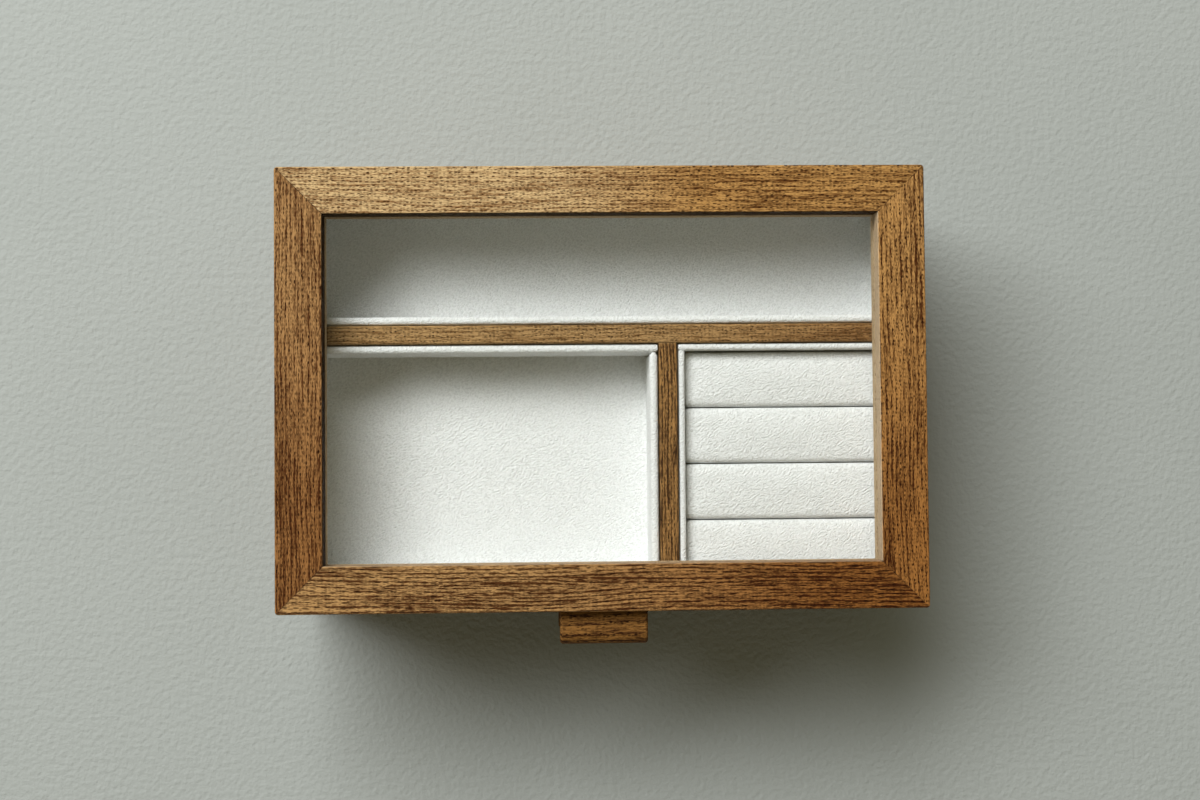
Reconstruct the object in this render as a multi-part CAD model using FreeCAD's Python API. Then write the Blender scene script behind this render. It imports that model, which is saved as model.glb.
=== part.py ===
import FreeCAD, Part
import math
import os

from FreeCAD import Vector

# A jewellery case in stained hardwood: a hinged glass lid over three lined trays, and a drawer below.
# Millimetres. +X is right, +Y is back, +Z is up. The origin is the middle of the footprint, where it rests.

# Case boards
CASE_WIDTH = 240.0
CASE_DEPTH = 164.0
BOARD = 8.0
CORNER_RADIUS = 1.2
BOTTOM_THICKNESS = 6.0
SHELF_THICKNESS = 4.0
DRAWER_OPENING = 34.0
CATCH_HEIGHT = 6.0
HOUSING_DEPTH = 3.0
HOUSING_CLEARANCE = 0.1
BACK_REBATE = 4.0
RAIL_TENON = 4.0
RAIL_TENON_SHOULDER = 6.0

# Felt under the case, and lid bumpers
FELT_THICKNESS = 1.5
FELT_INSET = 3.0
BUMPER_RADIUS = 2.5
BUMPER_INSET = 20.0
BUMPER_CLEARANCE = 0.2

# Tray dividers, placed from the middle of the case
DIVIDER_THICKNESS = 7.0
DIVIDER_DROP = 1.0
DIVIDER_EASE = 0.8
LONG_DIVIDER_OFFSET = 21.0
SHORT_DIVIDER_OFFSET = 25.5

# Wrapped linings
TRAY_DEPTH = 26.0
RIM_DROP = 2.0
TRAY_PAD = 2.5
TRAY_LINING = 3.0
RING_LINING = 2.4
DRAWER_PAD = 2.0
DRAWER_LINING = 2.4
DRAWER_RIM_DROP = 1.5
RIM_ROUNDING = 0.45
LINING_CLEARANCE = 0.4

# Ring rolls
ROLL_COUNT = 4
ROLL_DROP = 3.5
ROLL_EDGE = 3.0
ROLL_CROWN = 0.7
ROLL_BULGE = 0.3
ROLL_END = 3.0
ROLL_END_DRAW = 1.0
ROLL_CLEARANCE = 0.3

# Lid frame, glass and beads
LID_THICKNESS = 16.0
LID_MEMBER = 17.5
LID_GAP = 0.8
LID_TOP_EDGE = 0.7
LID_LOWER_EDGE = 0.6
LID_INNER_EDGE = 0.5
GLASS_DROP = 8.0
GLASS_THICKNESS = 2.0
GLASS_CLEARANCE = 0.5
REBATE_WIDTH = 6.0
BEAD_CLEARANCE = 0.15
BEAD_EDGE = 0.8

# Lift tab and drawer pull, which share one form
TAB_WIDTH = 32.5
TAB_REACH = 12.5
TAB_THICKNESS = 8.0
TAB_BELOW_MIDDLE = 1.5
TAB_NOSE = 3.9
TAB_END_EDGE = 1.2
TAB_GROOVE_RADIUS = 6.0
TAB_GROOVE_DEPTH = 1.2
TAB_TENON_SHOULDER = 6.0
TAB_TENON_HEIGHT = 4.0
TAB_TENON_LENGTH = 4.0
TAB_TENON_CLEARANCE = 0.2

# Barrel hinges in the back board; the bevelled back edges meet to stop the lid
HINGE_INSET = 50.0
BARREL_RADIUS = 2.5
CASE_BARREL_DEPTH = 11.0
LID_BARREL_DEPTH = 9.0
BARREL_FIT = 0.05
LINK_RADIUS = 1.4
LINK_WEB = 2.0
EYE_WIDTH = 1.8
EAR_WIDTH = 1.0
LINK_GAP = 0.15
LINK_CLEARANCE = 0.3
PIN_RADIUS = 0.6
PIN_CLEARANCE = 0.04
STOP_ANGLE = 95.0
STOP_SLACK = 0.6
BEVEL_OVERRUN = 1.0

# Drawer box
DRAWER_GAP = 0.8
DRAWER_EDGE = 0.8
DRAWER_SIDE = 6.0
DRAWER_TOP_DROP = 3.0
DRAWER_BOTTOM = 3.0
DRAWER_BOTTOM_LIFT = 2.5
DRAWER_GROOVE = 2.5
DRAWER_RUN = 0.3
CATCH_CLEARANCE = 1.5

# Levels and planes worked out from the sizes above
HALF_WIDTH = CASE_WIDTH / 2
HALF_DEPTH = CASE_DEPTH / 2
INNER_X = HALF_WIDTH - BOARD
INNER_Y = HALF_DEPTH - BOARD
Z_BASE = FELT_THICKNESS
Z_BOTTOM_TOP = Z_BASE + BOTTOM_THICKNESS
Z_OPENING_TOP = Z_BOTTOM_TOP + DRAWER_OPENING
Z_SHELF = Z_OPENING_TOP + CATCH_HEIGHT
Z_SHELF_TOP = Z_SHELF + SHELF_THICKNESS
Z_TRAY_FLOOR = Z_SHELF_TOP + TRAY_PAD
Z_RIM = Z_TRAY_FLOOR + TRAY_DEPTH
Z_CASE_TOP = Z_RIM + RIM_DROP
Z_DIVIDER_TOP = Z_CASE_TOP - DIVIDER_DROP
Z_ROLL_TOP = Z_RIM - ROLL_DROP
Z_LID = Z_CASE_TOP + LID_GAP
Z_LID_TOP = Z_LID + LID_THICKNESS
Z_GLASS_TOP = Z_LID_TOP - GLASS_DROP
Z_GLASS = Z_GLASS_TOP - GLASS_THICKNESS
Z_TAB = (Z_LID + Z_LID_TOP) / 2 - TAB_BELOW_MIDDLE
LONG_DIVIDER_FRONT = LONG_DIVIDER_OFFSET - DIVIDER_THICKNESS / 2
LONG_DIVIDER_BACK = LONG_DIVIDER_OFFSET + DIVIDER_THICKNESS / 2
SHORT_DIVIDER_LEFT = SHORT_DIVIDER_OFFSET - DIVIDER_THICKNESS / 2
SHORT_DIVIDER_RIGHT = SHORT_DIVIDER_OFFSET + DIVIDER_THICKNESS / 2
DRAWER_X = INNER_X - DRAWER_GAP
DRAWER_BACK_Y = INNER_Y - DRAWER_RUN
DRAWER_BACK_FRONT = DRAWER_BACK_Y - DRAWER_SIDE
Z_DRAWER = Z_BOTTOM_TOP + DRAWER_RUN
Z_DRAWER_TOP = Z_OPENING_TOP - DRAWER_TOP_DROP
Z_DRAWER_FLOOR = Z_DRAWER + DRAWER_BOTTOM_LIFT + DRAWER_BOTTOM
AXIS_Y = HALF_DEPTH - BOARD / 2
AXIS_Z = Z_CASE_TOP + LID_GAP / 2
HINGE_X = HALF_WIDTH - HINGE_INSET
TOLERANCE = 1e-6


def block(x, y, z):
    """Box between the low and high value of each axis."""
    return Part.makeBox(x[1] - x[0], y[1] - y[0], z[1] - z[0], Vector(x[0], y[0], z[0]))


def around(middle, width):
    """Low and high value of a width about its middle."""
    return (middle - width / 2, middle + width / 2)


def carve(shape, *tools):
    """Cut each tool from the shape in turn."""
    for tool in tools:
        shape = shape.cut(tool)
    return shape


def upright(edge):
    box = edge.BoundBox
    return box.XLength < TOLERANCE and box.YLength < TOLERANCE


def at_height(edge, z):
    box = edge.BoundBox
    return abs(box.ZMin - z) < TOLERANCE and abs(box.ZMax - z) < TOLERANCE


def is_long_top(edge, z, length):
    """True for the long edges on top of a board."""
    return at_height(edge, z) and edge.Length > length - TOLERANCE


def ease(shape, radius, wanted):
    """Round the edges for which wanted(edge) holds."""
    return shape.makeFillet(radius, [edge for edge in shape.Edges if wanted(edge)])


def mirrored(shape):
    """The same piece on the other side of the case."""
    return shape.mirror(Vector(0, 0, 0), Vector(1, 0, 0))


def export(node, *shapes):
    """Write one node as its separate solids."""
    solids = [solid for shape in shapes for solid in shape.Solids]
    Part.makeCompound(solids).exportStep("parts/" + node + ".step")


# Case boards

def case_envelope():
    """Outside of the case with its upright corners rounded."""
    outside = block((-HALF_WIDTH, HALF_WIDTH), (-HALF_DEPTH, HALF_DEPTH), (Z_BASE, Z_CASE_TOP))
    return ease(outside, CORNER_RADIUS, upright)


def shelf_slot():
    """Room that the shelf takes in the boards around it."""
    reach = HOUSING_DEPTH
    return block(
        (-INNER_X - reach, INNER_X + reach),
        (-INNER_Y - reach, INNER_Y + reach),
        (Z_SHELF, Z_SHELF_TOP),
    )


def bottom_slot():
    """Room that the bottom board takes in the sides and the back."""
    reach = HOUSING_DEPTH
    return block(
        (-INNER_X - reach, INNER_X + reach),
        (-HALF_DEPTH, INNER_Y + reach),
        (Z_BASE, Z_BOTTOM_TOP),
    )


def divider_slot():
    """Open-topped housings for the ends of the long divider."""
    reach = HOUSING_DEPTH
    return block(
        (-INNER_X - reach, INNER_X + reach),
        (LONG_DIVIDER_FRONT, LONG_DIVIDER_BACK),
        (Z_SHELF_TOP, Z_CASE_TOP),
    )


def rail_tenon(clearance):
    """Stub tenons through both ends of the front rail."""
    reach = INNER_X + RAIL_TENON + clearance
    return block(
        (-reach, reach),
        around(-HALF_DEPTH + BOARD / 2, BOARD / 2),
        (Z_OPENING_TOP + RAIL_TENON_SHOULDER, Z_CASE_TOP - RAIL_TENON_SHOULDER),
    )


def case_right_side():
    """Side board, rebated for the back and the bottom, housed for shelf, divider and rail."""
    board = case_envelope().common(
        block((INNER_X, HALF_WIDTH), (-HALF_DEPTH, HALF_DEPTH), (Z_BASE, Z_CASE_TOP))
    )
    rebate = block((INNER_X, INNER_X + BACK_REBATE), (INNER_Y, HALF_DEPTH), (Z_BASE, Z_CASE_TOP))
    board = carve(board, rebate, back_bevel(-1), bottom_slot(), shelf_slot(), divider_slot())
    return carve(board, rail_tenon(HOUSING_CLEARANCE))


def case_back():
    """Back board in the sides' rebates, bevelled along the top and drilled for the hinges."""
    reach = INNER_X + BACK_REBATE
    board = block((-reach, reach), (INNER_Y, HALF_DEPTH), (Z_BASE, Z_CASE_TOP))
    holes = [hinge_hole(hinge_x, -1, BARREL_FIT) for hinge_x in (-HINGE_X, HINGE_X)]
    return carve(board, back_bevel(-1), bottom_slot(), shelf_slot(), *holes)


def case_front_rail():
    """Board over the drawer opening, tenoned into the sides."""
    board = block((-INNER_X, INNER_X), (-HALF_DEPTH, -INNER_Y), (Z_OPENING_TOP, Z_CASE_TOP))
    return carve(board.fuse(rail_tenon(0)).removeSplitter(), shelf_slot())


def case_bottom():
    reach = INNER_X + HOUSING_DEPTH - HOUSING_CLEARANCE
    back = INNER_Y + HOUSING_DEPTH - HOUSING_CLEARANCE
    return block((-reach, reach), (-HALF_DEPTH, back), (Z_BASE, Z_BOTTOM_TOP))


def tray_shelf():
    reach = HOUSING_DEPTH - HOUSING_CLEARANCE
    return block(
        (-INNER_X - reach, INNER_X + reach),
        (-INNER_Y - reach, INNER_Y + reach),
        (Z_SHELF, Z_SHELF_TOP),
    )


def divider(x, y):
    """Divider board on the shelf, its top edges eased."""
    board = block(x, y, (Z_SHELF_TOP, Z_DIVIDER_TOP))
    length = max(x[1] - x[0], y[1] - y[0])
    return ease(board, DIVIDER_EASE, lambda e: is_long_top(e, Z_DIVIDER_TOP, length))


def long_divider():
    reach = INNER_X + HOUSING_DEPTH - HOUSING_CLEARANCE
    return divider((-reach, reach), (LONG_DIVIDER_FRONT, LONG_DIVIDER_BACK))


def short_divider():
    return divider((SHORT_DIVIDER_LEFT, SHORT_DIVIDER_RIGHT), (-INNER_Y, LONG_DIVIDER_FRONT))


def base_felt():
    """Felt sheet that the case rests on."""
    x = HALF_WIDTH - FELT_INSET
    y = HALF_DEPTH - FELT_INSET
    return block((-x, x), (-y, y), (0, FELT_THICKNESS))


def lid_bumpers():
    """Two dots on the front rail that take the closing lid."""
    x = HALF_WIDTH - BUMPER_INSET
    y = -HALF_DEPTH + BOARD / 2
    height = LID_GAP - BUMPER_CLEARANCE
    return [Part.makeCylinder(BUMPER_RADIUS, height, Vector(px, y, Z_CASE_TOP)) for px in (-x, x)]


# Lid

def lid_frame():
    """Whole frame before it is split at the mitres."""
    outside = block((-HALF_WIDTH, HALF_WIDTH), (-HALF_DEPTH, HALF_DEPTH), (Z_LID, Z_LID_TOP))
    outside = ease(outside, CORNER_RADIUS, upright)
    outside = ease(outside, LID_TOP_EDGE, lambda e: at_height(e, Z_LID_TOP))
    outside = ease(outside, LID_LOWER_EDGE, lambda e: at_height(e, Z_LID))
    opening = lid_opening(0, Z_LID, Z_LID_TOP)
    rebate = lid_opening(REBATE_WIDTH, Z_LID, Z_GLASS_TOP)
    return carve(outside, opening, rebate, back_bevel(1))


def lid_opening(margin, low, high):
    """Block through the frame's opening, wider by the margin on every side."""
    x = HALF_WIDTH - LID_MEMBER + margin
    y = HALF_DEPTH - LID_MEMBER + margin
    return block((-x, x), (-y, y), (low, high))


def mitre_wedge(side):
    """Prism over one member of the frame, cut at 45 degrees at both ends."""
    depth = LID_MEMBER
    if side in ("back", "front"):
        turn = 1 if side == "back" else -1
        outer = [(-HALF_WIDTH, turn * HALF_DEPTH), (HALF_WIDTH, turn * HALF_DEPTH)]
        inner = [
            (HALF_WIDTH - depth, turn * (HALF_DEPTH - depth)),
            (-HALF_WIDTH + depth, turn * (HALF_DEPTH - depth)),
        ]
    else:
        turn = 1 if side == "right" else -1
        outer = [(turn * HALF_WIDTH, -HALF_DEPTH), (turn * HALF_WIDTH, HALF_DEPTH)]
        inner = [
            (turn * (HALF_WIDTH - depth), HALF_DEPTH - depth),
            (turn * (HALF_WIDTH - depth), -HALF_DEPTH + depth),
        ]
    corners = [Vector(x, y, Z_LID) for x, y in outer + inner]
    outline = Part.makePolygon(corners + corners[:1])
    return Part.Face(outline).extrude(Vector(0, 0, LID_THICKNESS))


def on_inner_line(edge, side, z):
    """True for the edge of a member that runs along the opening at height z."""
    box = edge.BoundBox
    if not at_height(edge, z):
        return False
    if side in ("back", "front"):
        line = HALF_DEPTH - LID_MEMBER
        return box.YLength < TOLERANCE and abs(abs(box.YMin) - line) < TOLERANCE
    line = HALF_WIDTH - LID_MEMBER
    return box.XLength < TOLERANCE and abs(abs(box.XMin) - line) < TOLERANCE


def lid_member(side):
    """One rail or stile, its edge along the opening eased."""
    member = lid_frame().common(mitre_wedge(side))
    member = ease(member, LID_INNER_EDGE, lambda e: on_inner_line(e, side, Z_LID_TOP))
    if side == "front":
        return carve(member, tab_tenon(-HALF_DEPTH, Z_TAB, TAB_TENON_CLEARANCE))
    if side == "back":
        return carve(member, *[hinge_hole(hinge_x, 1, BARREL_FIT) for hinge_x in (-HINGE_X, HINGE_X)])
    return member


def lid_bead(side):
    """Bead under the glass, flush with the frame's inner face."""
    ring = lid_opening(REBATE_WIDTH - BEAD_CLEARANCE, Z_LID + BEAD_CLEARANCE, Z_GLASS)
    ring = carve(ring, lid_opening(0, Z_LID, Z_GLASS))
    bead = ring.common(mitre_wedge(side))
    return ease(bead, BEAD_EDGE, lambda e: on_inner_line(e, side, Z_LID + BEAD_CLEARANCE))


def lid_glass():
    return lid_opening(REBATE_WIDTH - GLASS_CLEARANCE, Z_GLASS, Z_GLASS_TOP)


# Lift tab and drawer pull

def tab_tenon(face_y, z, clearance):
    """Stub tenon behind the face that carries a tab, or its mortise with a clearance."""
    width = TAB_WIDTH - 2 * TAB_TENON_SHOULDER + 2 * clearance
    return block(
        around(0, width),
        (face_y, face_y + TAB_TENON_LENGTH + clearance),
        around(z, TAB_TENON_HEIGHT + 2 * clearance),
    )


def tab(face_y, z):
    """Bullnosed finger tab, hollowed along its underside."""
    front = face_y - TAB_REACH
    body = block(around(0, TAB_WIDTH), (front, face_y), around(z, TAB_THICKNESS))
    body = ease(body, TAB_NOSE, lambda e: abs(e.BoundBox.YMax - front) < TOLERANCE and not upright(e))
    groove_z = z - TAB_THICKNESS / 2 + TAB_GROOVE_DEPTH - TAB_GROOVE_RADIUS
    groove_start = Vector(-TAB_WIDTH / 2, face_y - TAB_REACH / 2, groove_z)
    groove = Part.makeCylinder(TAB_GROOVE_RADIUS, TAB_WIDTH, groove_start, Vector(1, 0, 0))
    body = ease(body, TAB_END_EDGE, lambda e: on_tab_end(e, face_y))
    return carve(body, groove).fuse(tab_tenon(face_y, z, 0)).removeSplitter()


def on_tab_end(edge, face_y):
    """True for the edges round a tab's two ends, apart from those on the carrying face."""
    box = edge.BoundBox
    at_end = box.XLength < TOLERANCE and abs(abs(box.XMin) - TAB_WIDTH / 2) < TOLERANCE
    return at_end and box.YMin < face_y - TOLERANCE


# Hinges

def back_bevel(turn):
    """Wedge behind the hinge axis that bevels the back edge of the case (-1) or of the lid (1)."""
    run = HALF_DEPTH + BEVEL_OVERRUN - AXIS_Y
    rise = turn * run * math.tan(math.radians((STOP_ANGLE + STOP_SLACK) / 2))
    corners = [(AXIS_Y, AXIS_Z), (AXIS_Y + run, AXIS_Z), (AXIS_Y + run, AXIS_Z + rise)]
    points = [Vector(-HALF_WIDTH, y, z) for y, z in corners]
    return Part.Face(Part.makePolygon(points + points[:1])).extrude(Vector(CASE_WIDTH, 0, 0))


def on_axis(span, radius):
    """Cylinder on the hinge axis over an X range."""
    return Part.makeCylinder(radius, span[1] - span[0], Vector(span[0], AXIS_Y, AXIS_Z), Vector(1, 0, 0))


def hinge_hole(hinge_x, turn, clearance):
    """Upright barrel in the case (-1) or the lid (1), or its drilled hole with a clearance."""
    radius = BARREL_RADIUS + clearance
    if turn < 0:
        depth = CASE_BARREL_DEPTH + clearance
        return Part.makeCylinder(radius, depth, Vector(hinge_x, AXIS_Y, Z_CASE_TOP - depth))
    return Part.makeCylinder(radius, LID_BARREL_DEPTH + clearance, Vector(hinge_x, AXIS_Y, Z_LID))


def link_spans(hinge_x, turn):
    """X ranges of the links round the pin: two ears on the case barrel, one eye on the lid barrel."""
    half_eye = EYE_WIDTH / 2
    if turn > 0:
        return [(hinge_x - half_eye, hinge_x + half_eye)]
    near = half_eye + LINK_GAP
    far = near + EAR_WIDTH
    return [(hinge_x - far, hinge_x - near), (hinge_x + near, hinge_x + far)]


def hinge_barrel(hinge_x, turn):
    """One half of a barrel hinge: bevelled like the edge it sits in, with links round the pin."""
    barrel = carve(hinge_hole(hinge_x, turn, 0), back_bevel(turn))
    for low, high in link_spans(hinge_x, -turn):
        room = (low - LINK_GAP, high + LINK_GAP)
        barrel = carve(barrel, on_axis(room, LINK_RADIUS + LINK_CLEARANCE))
    for span in link_spans(hinge_x, turn):
        foot = (AXIS_Z, AXIS_Z + LINK_RADIUS) if turn > 0 else (AXIS_Z - LINK_RADIUS, AXIS_Z)
        web = block(span, around(AXIS_Y, LINK_WEB), foot)
        barrel = barrel.fuse([on_axis(span, LINK_RADIUS), web])
    ears = link_spans(hinge_x, -1)
    pin_room = on_axis((ears[0][0], ears[-1][1]), PIN_RADIUS + PIN_CLEARANCE)
    return carve(barrel.removeSplitter(), pin_room)


def hinge_pin(hinge_x):
    ears = link_spans(hinge_x, -1)
    return on_axis((ears[0][0], ears[-1][1]), PIN_RADIUS)


# Drawer

def drawer_bottom_slot(clearance):
    """Room of the drawer's bottom panel, in grooves all round."""
    reach = DRAWER_GROOVE - clearance
    x = DRAWER_X - DRAWER_SIDE + reach
    low = Z_DRAWER + DRAWER_BOTTOM_LIFT
    return block((-x, x), (-INNER_Y - reach, DRAWER_BACK_FRONT + reach), (low, Z_DRAWER_FLOOR))


def drawer_right_side():
    """Drawer side, housed in the front and butted to the back."""
    side = block(
        (DRAWER_X - DRAWER_SIDE, DRAWER_X),
        (-INNER_Y - HOUSING_DEPTH + HOUSING_CLEARANCE, DRAWER_BACK_FRONT),
        (Z_DRAWER, Z_DRAWER_TOP),
    )
    return carve(side, drawer_bottom_slot(0))


def drawer_side_room():
    return block(
        (DRAWER_X - DRAWER_SIDE, DRAWER_X),
        (-INNER_Y - HOUSING_DEPTH, -INNER_Y),
        (Z_DRAWER, Z_DRAWER_TOP),
    )


def drawer_front():
    """Inset front, flush with the case, eased all round its face."""
    z = (Z_BOTTOM_TOP + DRAWER_GAP, Z_OPENING_TOP - DRAWER_GAP)
    board = block((-DRAWER_X, DRAWER_X), (-HALF_DEPTH, -INNER_Y), z)
    board = ease(board, DRAWER_EDGE, lambda e: abs(e.BoundBox.YMax + HALF_DEPTH) < TOLERANCE)
    room = drawer_side_room()
    pull_mortise = tab_tenon(-HALF_DEPTH, drawer_middle(), TAB_TENON_CLEARANCE)
    return carve(board, room, mirrored(room), drawer_bottom_slot(0), pull_mortise)


def drawer_middle():
    return (Z_BOTTOM_TOP + Z_OPENING_TOP) / 2


def drawer_back():
    """Back that stands above the opening, so that it catches behind the front rail."""
    board = block(
        (-DRAWER_X, DRAWER_X),
        (DRAWER_BACK_FRONT, DRAWER_BACK_Y),
        (Z_DRAWER, Z_SHELF - CATCH_CLEARANCE),
    )
    return carve(board, drawer_bottom_slot(0))


# Linings

def lining_wall(x, y, z):
    """Wrapped board with a rounded rim along its top."""
    panel = block(x, y, z)
    length = max(x[1] - x[0], y[1] - y[0])
    thickness = min(x[1] - x[0], y[1] - y[0])
    return ease(panel, RIM_ROUNDING * thickness, lambda e: is_long_top(e, z[1], length))


def lining_walls(prefix, x, y, z, thickness):
    """Four wrapped boards round a compartment: long front and back, with the sides between them."""
    gap = LINING_CLEARANCE
    x0, x1 = x[0] + gap, x[1] - gap
    y0, y1 = y[0] + gap, y[1] - gap
    between = (y0 + thickness + gap, y1 - thickness - gap)
    return {
        prefix + "_front_lining": lining_wall((x0, x1), (y0, y0 + thickness), z),
        prefix + "_back_lining": lining_wall((x0, x1), (y1 - thickness, y1), z),
        prefix + "_left_lining": lining_wall((x0, x0 + thickness), between, z),
        prefix + "_right_lining": lining_wall((x1 - thickness, x1), between, z),
    }


def floor_pad(x, y, z):
    gap = LINING_CLEARANCE
    return block((x[0] + gap, x[1] - gap), (y[0] + gap, y[1] - gap), z)


def tray_linings(prefix, x, y):
    """Floor pad of a tray and the four walls that stand on it."""
    pieces = lining_walls(prefix, x, y, (Z_TRAY_FLOOR, Z_RIM), TRAY_LINING)
    pieces[prefix + "_floor_pad"] = floor_pad(x, y, (Z_SHELF_TOP, Z_TRAY_FLOOR))
    return pieces


def drawer_linings():
    x = (-DRAWER_X + DRAWER_SIDE, DRAWER_X - DRAWER_SIDE)
    y = (-INNER_Y, DRAWER_BACK_FRONT)
    floor = Z_DRAWER_FLOOR + DRAWER_PAD
    pieces = lining_walls("drawer", x, y, (floor, Z_DRAWER_TOP - DRAWER_RIM_DROP), DRAWER_LINING)
    pieces["drawer_floor_pad"] = floor_pad(x, y, (Z_DRAWER_FLOOR, floor))
    return pieces


# Ring rolls

def roll_section(x, y, draw):
    """Outline across a roll at x, drawn in by the given amount: crowned top, round edges, full sides."""
    middle = (y[0] + y[1]) / 2
    half = (y[1] - y[0]) / 2 - draw
    top = Z_ROLL_TOP - draw
    shoulder = top - ROLL_CROWN
    side = shoulder - ROLL_EDGE
    foot = half - ROLL_BULGE
    bend = ROLL_EDGE * math.sqrt(0.5)

    def at(across, height):
        return Vector(x, middle + across, height)

    def flank(sign):
        return [
            Part.Arc(
                at(sign * foot, Z_SHELF_TOP),
                at(sign * half, (Z_SHELF_TOP + side) / 2),
                at(sign * foot, side),
            ).toShape(),
            Part.Arc(
                at(sign * foot, side),
                at(sign * (foot - ROLL_EDGE + bend), side + bend),
                at(sign * (foot - ROLL_EDGE), shoulder),
            ).toShape(),
        ]

    crown = Part.Arc(
        at(foot - ROLL_EDGE, shoulder), at(0, top), at(-foot + ROLL_EDGE, shoulder)
    ).toShape()
    base = Part.LineSegment(at(-foot, Z_SHELF_TOP), at(foot, Z_SHELF_TOP)).toShape()
    return Part.Wire(flank(1) + [crown] + flank(-1)[::-1] + [base])


def ring_rolls():
    """Padded rolls side by side; rings stand in the slits between them."""
    inset = LINING_CLEARANCE + RING_LINING + ROLL_CLEARANCE
    x0, x1 = SHORT_DIVIDER_RIGHT + inset, INNER_X - inset
    y0, y1 = -INNER_Y + inset, LONG_DIVIDER_FRONT - inset
    pitch = (y1 - y0) / ROLL_COUNT
    stations = [
        (x0, ROLL_END_DRAW),
        (x0 + ROLL_END / 3, ROLL_END_DRAW / 3),
        (x0 + ROLL_END, 0),
        (x1 - ROLL_END, 0),
        (x1 - ROLL_END / 3, ROLL_END_DRAW / 3),
        (x1, ROLL_END_DRAW),
    ]
    rolls = []
    for index in range(ROLL_COUNT):
        y = around(y1 - (index + 0.5) * pitch, pitch - ROLL_CLEARANCE)
        sections = [roll_section(x, y, draw) for x, draw in stations]
        rolls.append(Part.makeLoft(sections, True, True))
    return rolls


def all_nodes():
    """Every node's name with its solids."""
    side = case_right_side()
    drawer_side = drawer_right_side()
    nodes = {
        "case_left_side": [mirrored(side)],
        "case_right_side": [side],
        "case_back": [case_back()],
        "case_front_rail": [case_front_rail()],
        "case_bottom": [case_bottom()],
        "tray_shelf": [tray_shelf()],
        "long_divider": [long_divider()],
        "short_divider": [short_divider()],
        "base_felt": [base_felt()],
        "lid_bumpers": lid_bumpers(),
        "lid_back_rail": [lid_member("back")],
        "lid_front_rail": [lid_member("front")],
        "lid_left_stile": [lid_member("left")],
        "lid_right_stile": [lid_member("right")],
        "lid_glass": [lid_glass()],
        "lid_lift_tab": [tab(-HALF_DEPTH, Z_TAB)],
        "hinge_pins": [hinge_pin(-HINGE_X), hinge_pin(HINGE_X)],
        "drawer_front": [drawer_front()],
        "drawer_left_side": [mirrored(drawer_side)],
        "drawer_right_side": [drawer_side],
        "drawer_back": [drawer_back()],
        "drawer_bottom": [drawer_bottom_slot(HOUSING_CLEARANCE)],
        "drawer_pull": [tab(-HALF_DEPTH, drawer_middle())],
    }
    for bead in ("back", "front", "left", "right"):
        nodes["lid_bead_" + bead] = [lid_bead(bead)]
    for name, hinge_x in (("left", -HINGE_X), ("right", HINGE_X)):
        nodes[name + "_hinge_case_barrel"] = [hinge_barrel(hinge_x, -1)]
        nodes[name + "_hinge_lid_barrel"] = [hinge_barrel(hinge_x, 1)]
    back_y = (LONG_DIVIDER_BACK, INNER_Y)
    front_y = (-INNER_Y, LONG_DIVIDER_FRONT)
    linings = tray_linings("back_tray", (-INNER_X, INNER_X), back_y)
    linings.update(tray_linings("left_tray", (-INNER_X, SHORT_DIVIDER_LEFT), front_y))
    ring_x = (SHORT_DIVIDER_RIGHT, INNER_X)
    linings.update(lining_walls("ring_tray", ring_x, front_y, (Z_SHELF_TOP, Z_RIM), RING_LINING))
    linings.update(drawer_linings())
    for name, piece in linings.items():
        nodes[name] = [piece]
    for number, roll in enumerate(ring_rolls(), start=1):
        nodes["ring_roll_" + str(number)] = [roll]
    return nodes


os.makedirs("parts", exist_ok=True)
for node, shapes in all_nodes().items():
    export(node, *shapes)
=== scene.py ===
# %% [markdown]
# A jewellery case with a glass lid.
# The real object is a low box of brown-stained, open-pored hardwood. Its lid is a mitred frame round a pane
# of glass. Below the glass lie three trays lined with off-white suede, and one of them is filled with ring
# rolls. A lined drawer runs below the trays.
# Boards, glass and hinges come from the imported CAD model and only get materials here, because their shapes
# are right. Everything soft is modelled anew, because cloth swells, folds and rounds where a CAD block
# can't.

# %% Load the case
import math

import bmesh
import bpy
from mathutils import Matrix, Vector


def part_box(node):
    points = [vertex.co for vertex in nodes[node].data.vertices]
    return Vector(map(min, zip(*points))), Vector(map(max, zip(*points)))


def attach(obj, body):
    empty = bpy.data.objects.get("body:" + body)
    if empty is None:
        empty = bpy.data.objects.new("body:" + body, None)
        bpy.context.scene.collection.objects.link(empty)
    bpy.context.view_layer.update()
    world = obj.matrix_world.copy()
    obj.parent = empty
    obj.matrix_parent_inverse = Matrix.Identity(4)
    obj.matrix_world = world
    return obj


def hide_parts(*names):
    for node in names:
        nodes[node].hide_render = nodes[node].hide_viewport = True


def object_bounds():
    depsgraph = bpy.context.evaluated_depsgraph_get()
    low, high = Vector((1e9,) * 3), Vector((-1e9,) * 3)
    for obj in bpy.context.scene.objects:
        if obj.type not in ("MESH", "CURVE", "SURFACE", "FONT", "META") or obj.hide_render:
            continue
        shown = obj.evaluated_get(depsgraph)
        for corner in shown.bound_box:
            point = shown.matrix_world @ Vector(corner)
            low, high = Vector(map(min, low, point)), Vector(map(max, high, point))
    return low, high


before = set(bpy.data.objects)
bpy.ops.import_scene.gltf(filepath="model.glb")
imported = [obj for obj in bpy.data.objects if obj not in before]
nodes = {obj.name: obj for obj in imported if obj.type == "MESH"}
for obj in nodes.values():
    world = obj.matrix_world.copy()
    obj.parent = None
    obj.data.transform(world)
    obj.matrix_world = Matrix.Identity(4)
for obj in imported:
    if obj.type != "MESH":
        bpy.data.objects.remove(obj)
cad_low, cad_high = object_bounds()
print("CAD pieces:", len(nodes), "box from", tuple(cad_low), "to", tuple(cad_high))

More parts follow.
